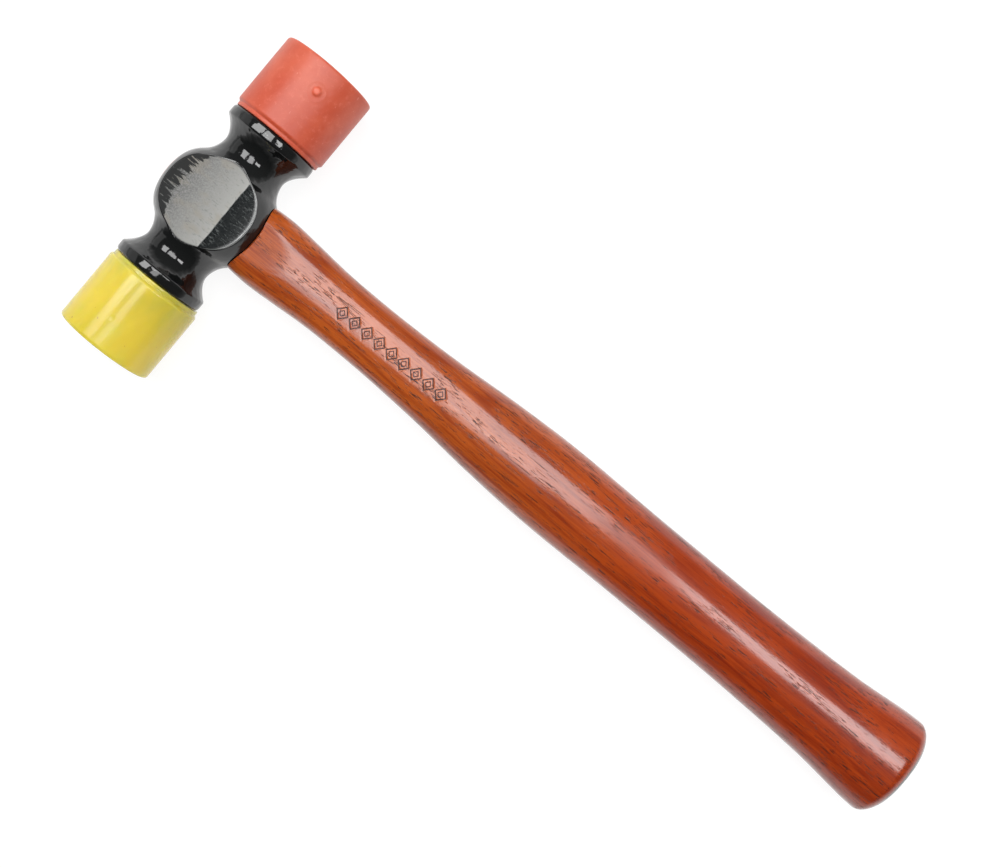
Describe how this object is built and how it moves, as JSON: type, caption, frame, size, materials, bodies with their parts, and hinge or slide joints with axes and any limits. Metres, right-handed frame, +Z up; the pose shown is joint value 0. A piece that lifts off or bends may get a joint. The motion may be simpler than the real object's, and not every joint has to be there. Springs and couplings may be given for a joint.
{
  "type": "soft-face hammer",
  "caption": "Double-faced soft-face hammer: a dumbbell-shaped enamelled steel head with screw-in plastic tips, on an oval stained hardwood handle with a flared butt, lying on its side.",
  "frame": {"origin": "on the surface that the hammer lies on, under the middle of its bounding box", "axes": "+X along the handle from the head to the butt, +Y along the head towards the red tip, +Z up, with the hammer lying on its side on both tips and the butt"},
  "size_m": [0.346, 0.1314, 0.0381],
  "materials": {
    "head_enamel": "gloss black enamel over forged steel, thin over the ground cheeks",
    "handle_wood": "red-brown stained hickory under clear lacquer, with a dark dipped butt",
    "wedge_wood": "bare hardwood",
    "wedge_steel": "plain rolled steel, filed flush",
    "red_plastic": "satin moulded plastic with light scuffs",
    "stud_steel": "bright machined steel, lightly oiled",
    "yellow_plastic": "glossy, slightly see-through amber plastic"
  },
  "bodies": {
    "hammer_body": {"head": "head_enamel", "handle": "handle_wood", "wooden_wedge": "wedge_wood", "steel_wedge_red_side": "wedge_steel", "steel_wedge_yellow_side": "wedge_steel"},
    "red_stud": {"red_tip_stud": "stud_steel"},
    "red_face": {"red_tip": "red_plastic"},
    "yellow_stud": {"yellow_tip_stud": "stud_steel"},
    "yellow_face": {"yellow_tip": "yellow_plastic"}
  },
  "joints": [
    {"name": "red_tip_advance", "type": "slide", "parent": "hammer_body", "child": "red_stud", "axis": [0, 1, 0], "range_m": [0, 0.0159]},
    {"name": "red_tip_turn", "type": "hinge", "parent": "red_stud", "child": "red_face", "pos_m": [-0.15036, 0, 0.01905], "axis": [0, 1, 0], "range_deg": [0, 3600]},
    {"name": "yellow_tip_advance", "type": "slide", "parent": "hammer_body", "child": "yellow_stud", "axis": [0, -1, 0], "range_m": [0, 0.0159]},
    {"name": "yellow_tip_turn", "type": "hinge", "parent": "yellow_stud", "child": "yellow_face", "pos_m": [-0.15036, 0, 0.01905], "axis": [0, -1, 0], "range_deg": [0, 3600]}
  ],
  "couplings": [
    {"joint": "red_tip_advance", "follows": "red_tip_turn", "m_per_rad": 0.00025266},
    {"joint": "yellow_tip_advance", "follows": "yellow_tip_turn", "m_per_rad": 0.00025266}
  ]
}
